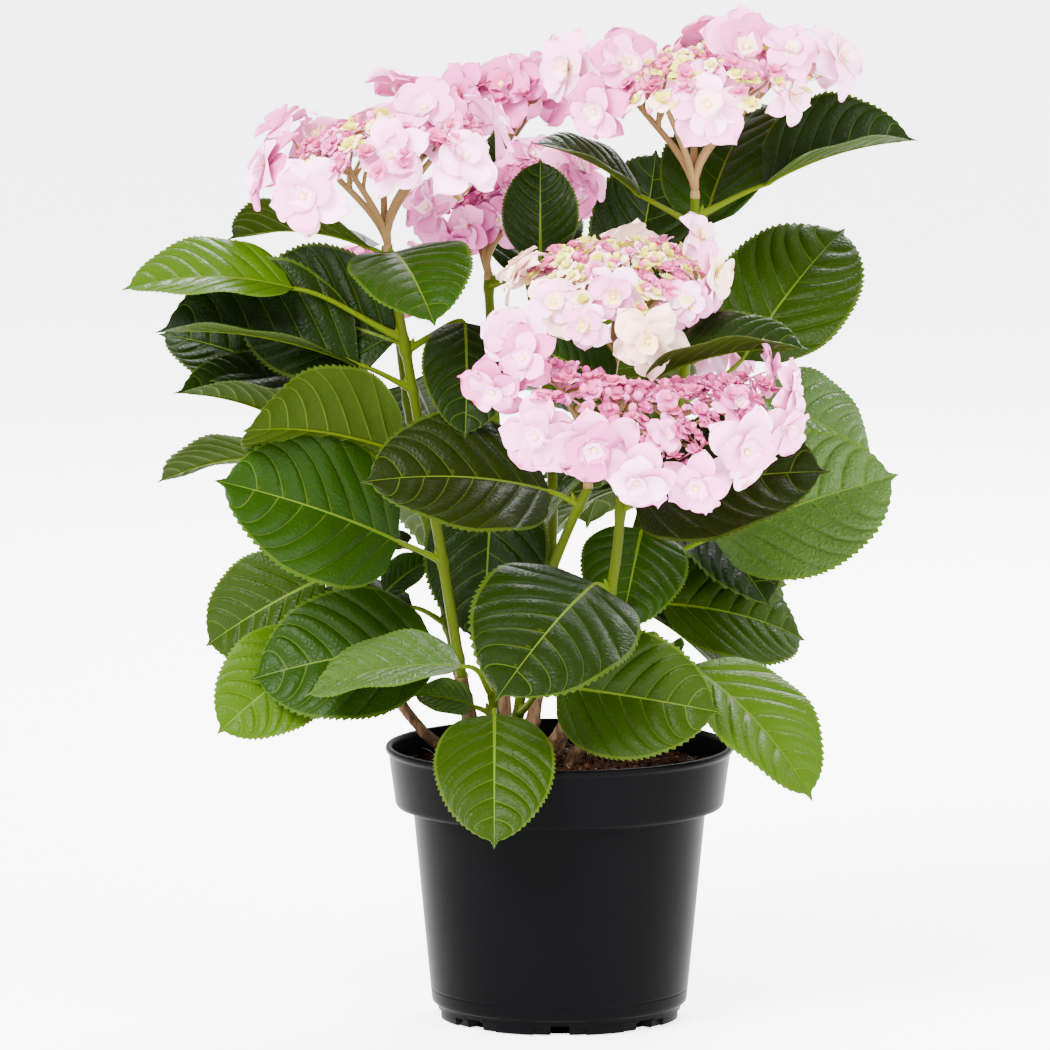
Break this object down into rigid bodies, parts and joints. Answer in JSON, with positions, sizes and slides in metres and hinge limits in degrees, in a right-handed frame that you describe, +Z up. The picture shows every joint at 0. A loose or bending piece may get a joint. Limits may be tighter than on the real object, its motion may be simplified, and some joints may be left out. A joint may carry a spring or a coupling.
{
  "type": "potted hydrangea shrub",
  "caption": "Potted hydrangea shrub with flat heads of double blossom, broad serrate leaves, woody canes and a round black pot filled with peat.",
  "frame": {"origin": "centre of the pot's flat underside, on the ground", "axes": "+Z up, +X to the plant's right as seen from its front, -Y towards the front"},
  "size_m": [0.5105, 0.4206, 0.6504],
  "materials": {
    "pot": "satin black moulded plastic",
    "peat": "moist reddish brown peat",
    "cane": "rough brown bark",
    "leaf": "satin dark green leaf with paler veins",
    "blossom": "soft pale pink petals"
  },
  "bodies": {
    "root": {"pot": "pot", "soil": "peat", "cane_left": "cane", "cane_low_left": "cane", "cane_front": "cane", "cane_middle": "cane", "cane_right": "cane", "cane_back": "cane", "cane_far": "cane", "cane_back_left": "cane", "cane_back_right": "cane", "cane_young": "cane", "cane_low_right": "cane", "leaves_left": "leaf", "leaves_low_left": "leaf", "leaves_front": "leaf", "leaves_middle": "leaf", "leaves_right": "leaf", "leaves_back": "leaf", "leaves_far": "leaf", "leaves_back_left": "leaf", "leaves_back_right": "leaf", "leaves_young": "leaf", "leaves_low_right": "leaf", "blossom_left": "blossom", "blossom_front": "blossom", "blossom_middle": "blossom", "blossom_right": "blossom", "blossom_back": "blossom", "blossom_far": "blossom", "blossom_back_left": "blossom", "blossom_back_right": "blossom"}
  },
  "joints": []
}
